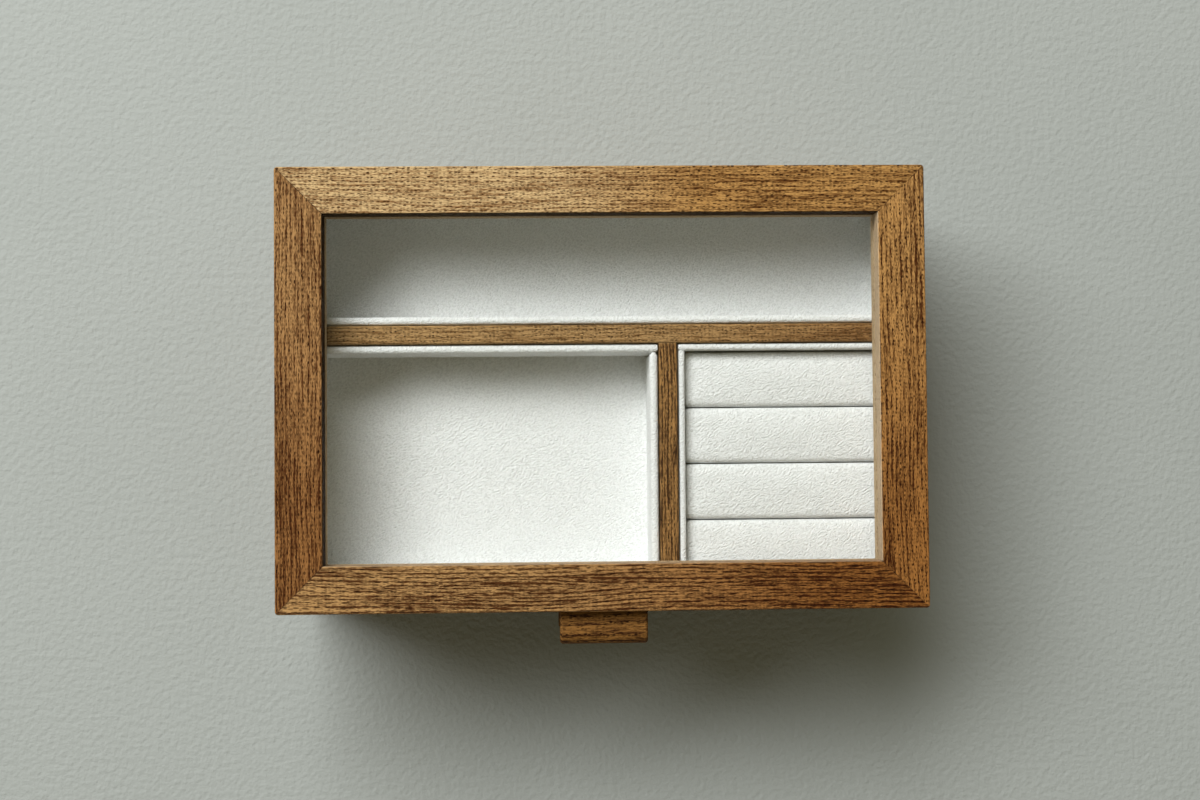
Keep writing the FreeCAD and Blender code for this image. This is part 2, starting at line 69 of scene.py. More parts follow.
# %% [markdown]
# The photograph looks almost straight down on the lid, from a little left of the middle and a little in
# front. A camera could be placed by eye. Here its place, turn in degrees and lens were found by matching the
# corners of the lid, the dividers and the tab with their places in the picture, so that every edge falls
# where it does there.

# %% Camera
CAMERA_PLACE = (-0.02194, -0.02679, 0.74237)
CAMERA_TURN = (1.993, -1.849, -0.511)
SENSOR_WIDTH = 36
LENS = 52.65
bpy.ops.object.select_all(action="DESELECT")
bpy.ops.object.camera_add(location=CAMERA_PLACE, rotation=[math.radians(turn) for turn in CAMERA_TURN])
camera = bpy.context.active_object
camera.data.sensor_width = SENSOR_WIDTH
camera.data.lens = LENS
bpy.context.scene.camera = camera
bpy.context.scene.view_settings.view_transform = "Standard"
print("camera", tuple(camera.location), "lens", camera.data.lens)

# %% [markdown]
# The light is one large window behind the case on the left. Its edges are soft, and shadows fall to the
# front and to the right. A sun lamp would give hard edges, so a wide area lamp is used, far enough away to
# light the whole case evenly.

# %% Window light
CASE_MIDDLE = Vector((0, 0, 0.08))
WINDOW_SIDE = Vector((-0.5, 0.66, 1.0)).normalized()
WINDOW_DISTANCE = 2.4
WINDOW_WIDTH = 2.1
WINDOW_HEIGHT = 1.05
WINDOW_POWER = 87.0
bpy.ops.object.light_add(type="AREA", location=CASE_MIDDLE + WINDOW_SIDE * WINDOW_DISTANCE)
window = bpy.context.active_object
window.name = "window"
window.data.shape = "RECTANGLE"
window.data.size = WINDOW_WIDTH
window.data.size_y = WINDOW_HEIGHT
window.data.energy = WINDOW_POWER
window.rotation_euler = (-WINDOW_SIDE).to_track_quat("-Z", "Y").to_euler()
print("window at", tuple(window.location))

# %% [markdown]
# Materials are built from small node steps: add, multiply, noise, soft thresholds. A few helpers place such
# a step and hand back its output, so that a recipe below reads like a formula. A value may be a plain number
# or the output of an earlier step. A Mix node has sockets for every kind of value, so those for colours are
# found by their numbers.

# %% Helpers for node recipes
MM = 1000.0
MIX_INPUTS = (0, 6, 7)
MIX_RESULT = 2


def feed(tree, socket, value):
    """Link a socket to an earlier output, or give it a plain value."""
    if isinstance(value, bpy.types.NodeSocket):
        tree.links.new(value, socket)
    else:
        socket.default_value = value


def feed_named(tree, node, **values):
    """Feed a node's inputs by name, with an underscore for each space in a name."""
    for label, value in values.items():
        feed(tree, node.inputs[label.replace("_", " ")], value)


def feed_in_order(tree, node, values):
    """Feed a node's first inputs, and hand back its outputs."""
    for socket, value in zip(node.inputs, values):
        feed(tree, socket, value)
    return node.outputs


def arith(tree, operation, *values):
    """One Math step."""
    node = tree.nodes.new("ShaderNodeMath")
    node.operation = operation
    return feed_in_order(tree, node, values)["Value"]


def plus(tree, first, second):
    """The sum of two values."""
    return arith(tree, "ADD", first, second)


def times(tree, first, second):
    """The product of two values."""
    return arith(tree, "MULTIPLY", first, second)


def vector_step(tree, operation, *values, output="Vector"):
    """One Vector Math step."""
    node = tree.nodes.new("ShaderNodeVectorMath")
    node.operation = operation
    return feed_in_order(tree, node, values)[output]


def in_mm(tree, vector):
    """A vector of metres in millimetres."""
    return vector_step(tree, "MULTIPLY", vector, (MM, MM, MM))


def split(tree, vector):
    """The three parts of a vector."""
    node = tree.nodes.new("ShaderNodeSeparateXYZ")
    feed_named(tree, node, Vector=vector)
    return node.outputs["X"], node.outputs["Y"], node.outputs["Z"]


def join(tree, *parts):
    """A vector from three parts."""
    return feed_in_order(tree, tree.nodes.new("ShaderNodeCombineXYZ"), parts)["Vector"]


def clouds(tree, place, stretch, detail=2.0, roughness=0.5):
    """Noise between 0 and 1 at a place that is stretched by a factor on each axis."""
    node = tree.nodes.new("ShaderNodeTexNoise")
    stretched = vector_step(tree, "MULTIPLY", place, stretch)
    feed_named(tree, node, Vector=stretched, Scale=1.0, Detail=detail, Roughness=roughness)
    return node.outputs[0]


def soft_step(tree, value, start, end):
    """0 at start, 1 at end, and smooth between them."""
    node = tree.nodes.new("ShaderNodeMapRange")
    node.interpolation_type = "SMOOTHSTEP"
    feed_named(tree, node, Value=value, From_Min=start, From_Max=end)
    return node.outputs["Result"]


def spread(tree, value, amount):
    """A noise value of 0 to 1 as a change of plus or minus the amount."""
    return times(tree, arith(tree, "SUBTRACT", value, 0.5), times(tree, amount, 2.0))


def bounded(tree, value):
    """A value cut to the range from 0 to 1."""
    return arith(tree, "MINIMUM", arith(tree, "MAXIMUM", value, 0.0), 1.0)


def mix_colour(tree, factor, first, second):
    """The first colour where the factor is 0, and the second where it is 1."""
    node = tree.nodes.new("ShaderNodeMix")
    node.data_type = "RGBA"
    for number, value in zip(MIX_INPUTS, (factor, first, second)):
        feed(tree, node.inputs[number], value)
    return node.outputs[MIX_RESULT]


def colour(red, green, blue):
    """An opaque colour."""
    return (red, green, blue, 1.0)


print("node helpers ready")

# %% [markdown]
# A look that several materials share is built once as a node group, with named inputs and outputs. These
# helpers open a new group, and place a group in a material with its own values.

# %% Helpers for node groups and materials
SOCKETS = {"vector": "NodeSocketVector", "colour": "NodeSocketColor", "value": "NodeSocketFloat"}
SURFACE = {"Color": "colour", "Roughness": "value", "Height": "value"}


def new_group(name, inputs, outputs):
    """An empty node group with named sockets: its tree, what it is given and what it results in."""
    tree = bpy.data.node_groups.new(name, "ShaderNodeTree")
    for in_out, sockets in (("INPUT", inputs), ("OUTPUT", outputs)):
        for label, kind in sockets.items():
            tree.interface.new_socket(name=label, in_out=in_out, socket_type=SOCKETS[kind])
    given = tree.nodes.new("NodeGroupInput").outputs
    result = tree.nodes.new("NodeGroupOutput").inputs
    return tree, given, result


def use_group(tree, group, **values):
    """Place a group with its own values, and hand back its outputs."""
    node = tree.nodes.new("ShaderNodeGroup")
    node.node_tree = group
    feed_named(tree, node, **values)
    return node.outputs


def new_material(name):
    """A material, its tree, its shader, and the object coordinates in metres."""
    material = bpy.data.materials.new(name)
    material.use_nodes = True
    tree = material.node_tree
    place = tree.nodes.new("ShaderNodeTexCoord").outputs["Object"]
    return material, tree, tree.nodes["Principled BSDF"], place


def add_relief(tree, shader, height, depth):
    """Bump of the given depth in metres from a height of about 0 to 1."""
    bump = tree.nodes.new("ShaderNodeBump")
    feed_named(tree, bump, Height=height, Distance=depth)
    feed_named(tree, shader, Normal=bump.outputs["Normal"])


def paint(material, *names):
    """Give CAD nodes a material in their slot."""
    for name in names:
        nodes[name].material_slots[0].material = material


print("group and material helpers ready")

# %% [markdown]
# The floor is plain and pale. A little unevenness in its tone and its surface keeps it from looking like
# paper.

# %% Floor
FLOOR_SIZE = 24
FLOOR_TONES = (colour(0.321, 0.346, 0.33), colour(0.365, 0.39, 0.374))
FLOOR_BLOTCHES = (9.0,) * 3
FLOOR_GRIT = (400.0,) * 3
FLOOR_RELIEF = 0.0006
FLOOR_ROUGHNESS = 0.85
bpy.ops.object.select_all(action="DESELECT")
bpy.ops.mesh.primitive_plane_add(size=FLOOR_SIZE)
floor = bpy.context.active_object
floor.name = "floor"
floor_finish, tree, shader, place = new_material("floor_plaster")
blotches = clouds(tree, place, FLOOR_BLOTCHES, detail=4.0)
feed_named(tree, shader, Base_Color=mix_colour(tree, blotches, *FLOOR_TONES), Roughness=FLOOR_ROUGHNESS)
add_relief(tree, shader, clouds(tree, place, FLOOR_GRIT, detail=3.0), FLOOR_RELIEF)
floor.data.materials.append(floor_finish)
print("floor of", FLOOR_SIZE, "m")

# %% [markdown]
# The world is a sky. It is dim overhead, so that the trays keep their depth, and pale at the horizon, where
# it lights the sides of the case.

# %% Sky
SKY_HORIZON = colour(0.60, 0.58, 0.53)
SKY_OVERHEAD = colour(0.14, 0.126, 0.068)
SKY_FADE = (0.1, 0.6)
world = bpy.data.worlds.new("sky")
bpy.context.scene.world = world
world.use_nodes = True
tree = world.node_tree
sky_place = tree.nodes.new("ShaderNodeTexCoord").outputs["Generated"]
overhead = soft_step(tree, split(tree, sky_place)[2], *SKY_FADE)
feed_named(tree, tree.nodes["Background"], Color=mix_colour(tree, overhead, SKY_HORIZON, SKY_OVERHEAD))
print("sky from", SKY_HORIZON, "to", SKY_OVERHEAD)

# %% [markdown]
# The boards are ring-porous wood. Each year's ring starts with a row of wide vessels, which show as short
# dark dashes along the grain, and ends in denser, paler wood. An image could hold this, but would repeat and
# stretch on the sides of a board. The recipe works it out in three dimensions instead, in millimetres, so
# that a board is cut out of its log: dashes on its faces, and dots on its end grain.
# First come the vessels. Each lies in a cell of a Voronoi pattern, which gives it a place and a depth of
# colour, and leaves some of them out. Wide vessels have a row of cells in each ring, and fine ones lie
# anywhere. Half sizes are shares of a cell.

# %% Vessels
CELL_SCATTER = 0.55
CHANCE_EDGE = 0.08
FAINTEST = 0.5
SPOT_EDGE = (1.05, 0.5)
ROW_IN_RING = 0.22
WIDE_CELL_DEPTH = 1.1
WIDE_HALF_LENGTH = 0.34
WIDE_HALF_DEPTH = 0.8
WIDE_MISSING = 0.04
FINE_CELLS = (0.75, 2.3, 2.3)
FINE_HALF_SIZES = (0.48, 0.22, 0.4)
FINE_MISSING = 0.3
FINE_STRENGTH = 0.7


def vessel_cells(tree, cell_place, half_sizes, missing):
    """Elongated dark spots, one in each cell, some of them missing and some fainter than others."""
    cells = tree.nodes.new("ShaderNodeTexVoronoi")
    feed_named(tree, cells, Vector=cell_place, Scale=1.0, Randomness=CELL_SCATTER)
    from_middle = vector_step(tree, "SUBTRACT", cell_place, cells.outputs["Position"])
    in_spot = vector_step(tree, "DIVIDE", from_middle, half_sizes)
    shape = vector_step(tree, "LENGTH", in_spot, output="Value")
    chance, strength, _ = split(tree, cells.outputs["Color"])
    present = soft_step(tree, chance, missing, missing + CHANCE_EDGE)
    filled = times(tree, present, arith(tree, "MULTIPLY_ADD", strength, 1.0 - FAINTEST, FAINTEST))
    return times(tree, soft_step(tree, shape, *SPOT_EDGE), filled)


def vessel_rows(tree, given, x, ring, tangent):
    """A row of wide vessels in each ring, each row moved along by its own amount."""
    row = plus(tree, ring, ROW_IN_RING)
    shift = tree.nodes.new("ShaderNodeTexWhiteNoise")
    shift.noise_dimensions = "1D"
    feed_named(tree, shift, W=arith(tree, "FLOOR", row))
    along = plus(tree, arith(tree, "DIVIDE", x, given["Vessel Length"]), shift.outputs["Value"])
    cell_place = join(tree, along, row, arith(tree, "DIVIDE", tangent, WIDE_CELL_DEPTH))
    half_vessel = arith(tree, "DIVIDE", given["Vessel Width"], 2.0)
    half_width = arith(tree, "DIVIDE", half_vessel, given["Ring Width"])
    half_sizes = join(tree, WIDE_HALF_LENGTH, half_width, WIDE_HALF_DEPTH)
    return vessel_cells(tree, cell_place, half_sizes, WIDE_MISSING)


def wood_vessels(tree, given, x, bent_place, ring, tangent):
    """Wide vessels in rows, and fine ones anywhere, as a mask."""
    wide = vessel_rows(tree, given, x, ring, tangent)
    fine_place = vector_step(tree, "MULTIPLY", bent_place, FINE_CELLS)
    fine = times(tree, vessel_cells(tree, fine_place, FINE_HALF_SIZES, FINE_MISSING), FINE_STRENGTH)
    return times(tree, arith(tree, "MAXIMUM", wide, fine), given["Vessel Strength"])


print("vessel helpers ready")

# %% [markdown]
# Grain runs along X, and the ring number grows across it. A trunk is never straight, so slow and small noise
# bends the grain, and years differ, so the rings are uneven. Their tilt decides whether a face is cut along
# the rings or across them.

# %% Rings
SLOW_BEND = (0.011, 0.035, 0.035)
SMALL_BEND = (0.04, 0.3, 0.3)
SMALL_WANDER = 0.4
YEARS = (0.31, 1.0, 1.0)
YEAR_UNEVENNESS = 0.9


def bend_grain(tree, place, wander):
    """The place across the grain, after slow and small bends of the fibres."""
    slow = spread(tree, clouds(tree, place, SLOW_BEND, detail=1.0), wander)
    small = spread(tree, clouds(tree, place, SMALL_BEND, detail=1.0), SMALL_WANDER)
    return plus(tree, split(tree, place)[1], plus(tree, slow, small))


def ring_place(tree, across, z, tilt, ring_width):
    """Ring number, uneven as years are, and the place along the ring in the board's end."""
    cosine = arith(tree, "COSINE", tilt)
    sine = arith(tree, "SINE", tilt)
    radial = plus(tree, times(tree, across, cosine), times(tree, z, sine))
    tangent = arith(tree, "SUBTRACT", times(tree, z, cosine), times(tree, across, sine))
    even = arith(tree, "DIVIDE", radial, ring_width)
    uneven = spread(tree, clouds(tree, join(tree, even, 0.0, 0.0), YEARS, detail=1.0), YEAR_UNEVENNESS)
    return plus(tree, even, uneven), tangent


print("ring helpers ready")

# %% [markdown]
# Between the vessels, the wood's darkness changes with the early wood of each ring, which shows in
# stretches, and with fibres, streaks and wide patches. Those three are noise that is stretched along the
# grain.

# %% Wood between the vessels
EARLY_START = (0.0, 0.12)
EARLY_END = (0.65, 0.3)
BAND_STRETCHES = (0.14, 0.9, 0.9)
STRETCH_EDGE = (0.35, 0.62)
STREAKS = (0.05, 1.1, 1.1)
PATCHES = (0.016, 0.09, 0.09)
MIDDLE_SHADE = 0.34
FIBRE_CHANGE = 1.5
STREAK_CHANGE = 0.95
PATCH_CHANGE = 0.6


def wood_shade(tree, place, bent_place, ring, fibre, banding):
    """Darkness of the wood between its vessels: early wood in stretches, fibres, streaks and patches."""
    in_ring = arith(tree, "FRACT", ring)
    early = times(tree, soft_step(tree, in_ring, *EARLY_START), soft_step(tree, in_ring, *EARLY_END))
    stretches = soft_step(tree, clouds(tree, bent_place, BAND_STRETCHES, detail=1.0), *STRETCH_EDGE)
    shade = plus(tree, times(tree, times(tree, early, stretches), banding), MIDDLE_SHADE)
    streak = clouds(tree, bent_place, STREAKS)
    patch = clouds(tree, place, PATCHES)
    for change, amount in ((fibre, FIBRE_CHANGE), (streak, STREAK_CHANGE), (patch, PATCH_CHANGE)):
        shade = plus(tree, shade, spread(tree, change, amount))
    return bounded(tree, shade)


print("shade helper ready")

# %% [markdown]
# Every board uses this wood, so the recipe becomes a node group. It is given the tones of a stain, and the
# measures of the rings and vessels. Vessels lie deeper than the fibres and are rougher.

# %% Stained grain
FIBRES = (0.32, 2.4, 2.4)
WOOD_ROUGHNESS = 0.5
FIBRE_ROUGHNESS = 0.16
VESSEL_ROUGHNESS = 0.2
FIBRE_HEIGHT = 0.5


def stained_grain():
    """The group that gives a board its colour, roughness and height."""
    tree, given, result = new_group(
        "Stained grain",
        {
            "Vector": "vector", "Light Wood": "colour", "Dark Wood": "colour", "Vessel": "colour",
            "Ring Width": "value", "Vessel Length": "value", "Vessel Width": "value",
            "Vessel Strength": "value", "Wander": "value", "Tilt": "value", "Banding": "value",
        },
        SURFACE,
    )
    place = in_mm(tree, given["Vector"])
    x, _, z = split(tree, place)
    across = bend_grain(tree, place, given["Wander"])
    bent_place = join(tree, x, across, z)
    ring, tangent = ring_place(tree, across, z, given["Tilt"], given["Ring Width"])
    vessel = wood_vessels(tree, given, x, bent_place, ring, tangent)
    fibre = clouds(tree, bent_place, FIBRES, detail=3.0, roughness=0.6)
    shade = wood_shade(tree, place, bent_place, ring, fibre, given["Banding"])
    wood_tone = mix_colour(tree, shade, given["Light Wood"], given["Dark Wood"])
    feed(tree, result["Color"], mix_colour(tree, vessel, wood_tone, given["Vessel"]))
    rough = arith(tree, "MULTIPLY_ADD", fibre, FIBRE_ROUGHNESS, WOOD_ROUGHNESS)
    feed(tree, result["Roughness"], arith(tree, "MULTIPLY_ADD", vessel, VESSEL_ROUGHNESS, rough))
    feed(tree, result["Height"], arith(tree, "SUBTRACT", times(tree, fibre, FIBRE_HEIGHT), vessel))
    return tree


grain_group = stained_grain()
print(grain_group.name, "has", len(grain_group.nodes), "nodes")

# %% [markdown]
# Stain wears thin where hands rub an edge. A bevel node could find the edges, but the export can't read it.
# Because each board is nearly a block, a point is near an edge where it is close to two sides of the
# board's box at once, and the group works that out from the box's corners.

# %% Rubbed edges
RUB_BREAKS = (180.0,) * 3
RUB_BREAK_EDGE = (0.3, 0.65)


def rubbed_edges():
    """The group that gives a mask of a board's rubbed edges."""
    tree, given, result = new_group(
        "Rubbed edges",
        {"Vector": "vector", "Low": "vector", "High": "vector", "Width": "value"},
        {"Mask": "value"},
    )
    from_low = vector_step(tree, "SUBTRACT", given["Vector"], given["Low"])
    from_high = vector_step(tree, "SUBTRACT", given["High"], given["Vector"])
    gap = in_mm(tree, vector_step(tree, "MINIMUM", from_low, from_high))
    near = [soft_step(tree, part, given["Width"], 0.0) for part in split(tree, gap)]
    pairs = [times(tree, near[a], near[b]) for a, b in ((0, 1), (1, 2), (0, 2))]
    edge = arith(tree, "MAXIMUM", arith(tree, "MAXIMUM", pairs[0], pairs[1]), pairs[2])
    broken = soft_step(tree, clouds(tree, given["Vector"], RUB_BREAKS, detail=3.0), *RUB_BREAK_EDGE)
    feed(tree, result["Mask"], times(tree, edge, broken))
    return tree


edge_group = rubbed_edges()
print(edge_group.name, "has", len(edge_group.nodes), "nodes")

# %% [markdown]
# The lid's four members meet in mitres. The boards touch there, so the joint shows only as a hair line that
# stain has darkened, broken where the joint is tight. The narrow faces round the opening get a painted
# highlight or painted shade. The group finds the mitre where a point is as far from one side of the lid as
# from the other, and the opening by its size.

# %% Lid joints and opening
LID_HALF = Vector((cad_high.x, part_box("lid_back_rail")[1].y, 0.0))
OPENING_HALF = Vector((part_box("lid_bead_right")[0].x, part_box("lid_bead_back")[0].y, 0.0))
JOINT_EDGE = (0.38, 0.08)
JOINT_BREAKS = (220.0,) * 3
JOINT_BREAK_EDGE = (0.32, 0.6)
OPENING_EDGE = (0.4, 0.05)


def lid_marks():
    """The group that gives masks of the lid's mitres and of its opening."""
    tree, given, result = new_group(
        "Lid marks", {"Vector": "vector"}, {"Mitre": "value", "Opening": "value"})
    reach = vector_step(tree, "ABSOLUTE", given["Vector"])
    inside_x, inside_y, _ = split(tree, vector_step(tree, "SUBTRACT", LID_HALF, reach))
    off_mitre = arith(tree, "ABSOLUTE", arith(tree, "SUBTRACT", inside_x, inside_y))
    line = soft_step(tree, times(tree, off_mitre, MM), *JOINT_EDGE)
    broken = soft_step(tree, clouds(tree, given["Vector"], JOINT_BREAKS), *JOINT_BREAK_EDGE)
    feed(tree, result["Mitre"], times(tree, line, broken))
    past_x, past_y, _ = split(tree, vector_step(tree, "SUBTRACT", reach, OPENING_HALF))
    past_opening = times(tree, arith(tree, "MAXIMUM", past_x, past_y), MM)
    feed(tree, result["Opening"], soft_step(tree, past_opening, *OPENING_EDGE))
    return tree


lid_group = lid_marks()
print(lid_group.name, "has", len(lid_group.nodes), "nodes")

# %% [markdown]
# Each board gets its own place in the log and its own shade of stain, because no two boards of a real case
# match. A Mapping node turns the grain along the board and moves it to a fresh part of the log. Three tones
# make a stain: late wood, early wood and vessels.

# %% Stains
STAINS = {
    "honey": (colour(0.583, 0.408, 0.201), colour(0.187, 0.087, 0.027), colour(0.061, 0.022, 0.005)),
    "amber": (colour(0.436, 0.235, 0.072), colour(0.088, 0.03, 0.005), colour(0.035, 0.01, 0.002)),
    "chestnut": (colour(0.437, 0.233, 0.074), colour(0.063, 0.019, 0.003), colour(0.027, 0.007, 0.001)),
    "hazel": (colour(0.373, 0.205, 0.077), colour(0.078, 0.026, 0.005), colour(0.028, 0.008, 0.002)),
    "umber": (colour(0.427, 0.246, 0.094), colour(0.068, 0.023, 0.005), colour(0.023, 0.007, 0.001)),
    "walnut": (colour(0.351, 0.179, 0.058), colour(0.045, 0.014, 0.003), colour(0.018, 0.006, 0.001)),
    "cocoa": (colour(0.233, 0.109, 0.027), colour(0.033, 0.01, 0.002), colour(0.015, 0.004, 0.001)),
    "taupe": (colour(0.428, 0.255, 0.106), colour(0.15, 0.068, 0.019), colour(0.05, 0.02, 0.006)),
    "bare": (colour(0.517, 0.385, 0.237), colour(0.404, 0.282, 0.155), colour(0.245, 0.146, 0.068)),
}
GRAIN = {
    "Ring_Width": 1.3, "Vessel_Length": 2.1, "Vessel_Width": 0.44, "Vessel_Strength": 1.0,
    "Wander": 3.0, "Banding": 0.6,
}
TURN_ALONG = {"X": 0.0, "Y": -math.pi / 2}


def lay_grain(tree, place, along, start, tones, tilt, **changes):
    """Grain of one plank: along X or Y, from its own place in the log, tilted by some degrees."""
    mapping = tree.nodes.new("ShaderNodeMapping")
    feed_named(tree, mapping, Vector=place, Rotation=(0.0, 0.0, TURN_ALONG[along]), Location=start)
    light, dark, vessel = tones
    return use_group(
        tree, grain_group, Vector=mapping.outputs["Vector"], Light_Wood=light, Dark_Wood=dark, Vessel=vessel,
        Tilt=math.radians(tilt), **{**GRAIN, **changes},
    )


print("stains:", ", ".join(STAINS))

# %% [markdown]
# A board's finish goes over its grain: darkening towards one end, rubbed edges, and on the lid the mitres
# and the opening. The faces of the opening that look at the window get a painted highlight, a pale tone,
# and the two that look away from it get painted shade, a near-black tone.

# %% Finish of a board
LOOKS = tuple(SURFACE)
AXES = {"X": 0, "Y": 1}
# How much darker a board grows towards one end.
END_DARKENING = (0.6, 0.42, 0.25)
RUBBED_WOOD = colour(0.455, 0.31, 0.155)
# Painted highlight for the faces of the lid's opening that look at the window.
OPENING_HIGHLIGHT = colour(0.564, 0.442, 0.293)
# Painted shade for the faces of the lid's opening that look away from the window.
OPENING_SHADE = colour(0.02, 0.01, 0.004)
JOINT_LINE = colour(0.03, 0.014, 0.006)
RUB_WIDTH = 0.7
RUB_SHARE = 0.2
JOINT_SHARE = 0.75
GRAIN_RELIEF = 0.0004
WOOD_SPECULAR = 0.06


def blend_tone(tree, mask, share, tone, over):
    """Lay a second tone over the first by a share of a mask."""
    return mix_colour(tree, times(tree, mask, share), tone, over)


def finish_board(node, tree, shader, place, grain, opening=None, darkening=None):
    """Lay the finish over a board's grain and connect its looks.

    opening is a tone of painted highlight or shade and its share, for a lid member's face in the opening;
    darkening is an axis, the two places between which the board grows darker, and a share.
    """
    tone, roughness, height = grain
    # The tone grows darker towards one end of the board.
    if darkening:
        axis, start, end, share = darkening
        towards_end = soft_step(tree, split(tree, place)[AXES[axis]], start, end)
        tone = blend_tone(tree, towards_end, share, tone, vector_step(tree, "MULTIPLY", tone, END_DARKENING))
    low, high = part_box(node)
    edges = use_group(tree, edge_group, Vector=place, Low=low, High=high, Width=RUB_WIDTH)
    tone = blend_tone(tree, edges["Mask"], RUB_SHARE, tone, RUBBED_WOOD)
    # The opening's tone is a painted highlight or painted shade, depending on which way its faces look.
    if opening:
        opening_tone, share = opening
        marks = use_group(tree, lid_group, Vector=place)
        tone = blend_tone(tree, marks["Opening"], share, tone, opening_tone)
        tone = blend_tone(tree, marks["Mitre"], JOINT_SHARE, tone, JOINT_LINE)
    feed_named(tree, shader, Base_Color=tone, Roughness=roughness, Specular_IOR_Level=WOOD_SPECULAR)
    add_relief(tree, shader, height, GRAIN_RELIEF)


def plank(node, along, start, stain, tilt, finish=None, **changes):
    """One CAD board in its own wood."""
    material, tree, shader, place = new_material(node + "_wood")
    grain = lay_grain(tree, place, along, start, STAINS[stain], tilt, **changes)
    finish_board(node, tree, shader, place, [grain[look] for look in LOOKS], **(finish or {}))
    paint(material, node)


print("finish for boards ready, with looks", LOOKS)

# %% [markdown]
# The lid's stiles have close, streaky grain. The dividers are plainer, and the tab and the pull are darkest.
# The case is cut from wide boards of the same wood, whose rings are broader and bend more. The drawer's
# box, the shelf and the beads are left bare.

# %% Planks
WIDE_BOARD = {
    "Ring_Width": 1.8, "Wander": 45.0, "Vessel_Length": 2.3, "Vessel_Width": 0.4, "Banding": 0.35,
}
LOG_STEP = 0.4
# The left stile's opening face gets painted shade, and the right stile's a painted highlight.
plank(
    "lid_left_stile", "Y", (0.75, 0.33, 0.21), "hazel", 35.0,
    Ring_Width=1.2, Vessel_Length=2.4, Vessel_Width=0.38,
    finish={"opening": (OPENING_SHADE, 0.9), "darkening": ("Y", 0.05, -0.06, 0.7)},
)
plank(
    "lid_right_stile", "Y", (1.42, 0.57, 0.14), "chestnut", 42.0, Ring_Width=1.25, Vessel_Length=1.8,
    finish={"opening": (OPENING_HIGHLIGHT, 0.7), "darkening": ("Y", 0.06, -0.06, 0.75)},
)
plank(
    "long_divider", "X", (2.13, 0.24, 0.36), "taupe", 40.0,
    Ring_Width=1.1, Vessel_Length=1.6, Vessel_Width=0.4, Banding=0.3,
    finish={"darkening": ("X", 0.0, 0.1, 0.45)},
)
plank(
    "short_divider", "Y", (2.61, 0.43, 0.11), "walnut", 20.0, Ring_Width=1.1, Vessel_Width=0.4, Banding=0.9)
for name, start in (("lid_lift_tab", (3.07, 0.38, 0.52)), ("drawer_pull", (3.42, 0.61, 0.27))):
    plank(name, "X", start, "cocoa", 55.0, Ring_Width=2.2, Wander=5.0)
for name, along, start, stain, tilt in (
    ("case_left_side", "Y", (4.11, 0.27, 0.65), "umber", 70.0),
    ("case_right_side", "Y", (4.52, 0.71, 0.39), "chestnut", 65.0),
    ("case_back", "X", (5.23, 0.16, 0.74), "umber", 72.0),
    ("case_front_rail", "X", (5.81, 0.55, 0.42), "umber", 68.0),
    ("case_bottom", "X", (6.17, 0.49, 0.13), "umber", 15.0),
    ("drawer_front", "X", (6.64, 0.32, 0.57), "chestnut", 66.0),
):
    plank(name, along, start, stain, tilt, **WIDE_BOARD)
for index, name in enumerate(("drawer_left_side", "drawer_right_side")):
    plank(name, "Y", (7.2 + LOG_STEP * index, 0.3, 0.6), "bare", 70.0, Ring_Width=2.8)
for index, name in enumerate(("drawer_back", "drawer_bottom", "tray_shelf")):
    plank(name, "X", (8.1 + LOG_STEP * index, 0.5, 0.2), "bare", 20.0, Ring_Width=3.0)
for index, (name, along) in enumerate((("back", "X"), ("front", "X"), ("left", "Y"), ("right", "Y"))):
    plank("lid_bead_" + name, along, (9.3 + LOG_STEP * index, 0.6, 0.4), "bare", 60.0)
print("planks painted:", sum(material.name.endswith("_wood") for material in bpy.data.materials))

# %% [markdown]
# The lid's two rails are glued up from strips, and in each of them one strip is pieced: a second length of
# timber starts there, cut to small fingers, and its grain doesn't meet the grain of the first. Two grains
# are laid in one material, and a mask decides where the second one shows. The measures are in millimetres.

# %% Pieced rails
FINGER_PITCH = 4.6
FINGER_LENGTH = 2.0
CUT_SOFTNESS = 0.1


def second_length(tree, place, start_x, strip):
    """1 in a strip of a rail from where its second length starts, and 0 elsewhere."""
    x, y, _ = split(tree, in_mm(tree, place))
    zigzag = arith(tree, "PINGPONG", y, FINGER_PITCH / 2)
    fingers = times(tree, zigzag, FINGER_LENGTH * 2 / FINGER_PITCH)
    past_cut = arith(tree, "SUBTRACT", x, plus(tree, fingers, start_x))
    in_strip = arith(tree, "COMPARE", y, sum(strip) / 2, (strip[1] - strip[0]) / 2)
    return times(tree, soft_step(tree, past_cut, -CUT_SOFTNESS, CUT_SOFTNESS), in_strip)


def pieced_rail(node, tree, shader, place, lengths, start_x, strip, **finish):
    """Show two grains in one rail, and finish it."""
    second = second_length(tree, place, start_x, strip)
    first_grain, second_grain = lengths
    grain = [mix_colour(tree, second, first_grain[look], second_grain[look]) for look in LOOKS]
    finish_board(node, tree, shader, place, grain, **finish)


print("fingers of", FINGER_LENGTH, "mm where a strip is pieced")

# %% [markdown]
# The back rail is pale on the left and browner on the right. It fades from honey to amber, so its tones are
# mixed along X before they go into the grain.

# %% Back rail
BACK_CUT = 41.0
BACK_STRIP = (70.4, 76.8)
FADE_FROM = -25.0
FADE_TO = 42.5
back_finish, tree, shader, place = new_material("lid_back_rail_wood")
browner = soft_step(tree, split(tree, place)[0], FADE_FROM / MM, FADE_TO / MM)
back_tones = [
    mix_colour(tree, browner, pale, brown) for pale, brown in zip(STAINS["honey"], STAINS["amber"])
]
back_lengths = (
    lay_grain(
        tree, place, "X", (0.11, 0.45, 0.32), back_tones, 40.0,
        Ring_Width=1.1, Wander=2.2, Banding=0.3, Vessel_Width=0.43,
    ),
    lay_grain(tree, place, "X", (0.63, 0.18, 0.47), STAINS["amber"], 33.0),
)
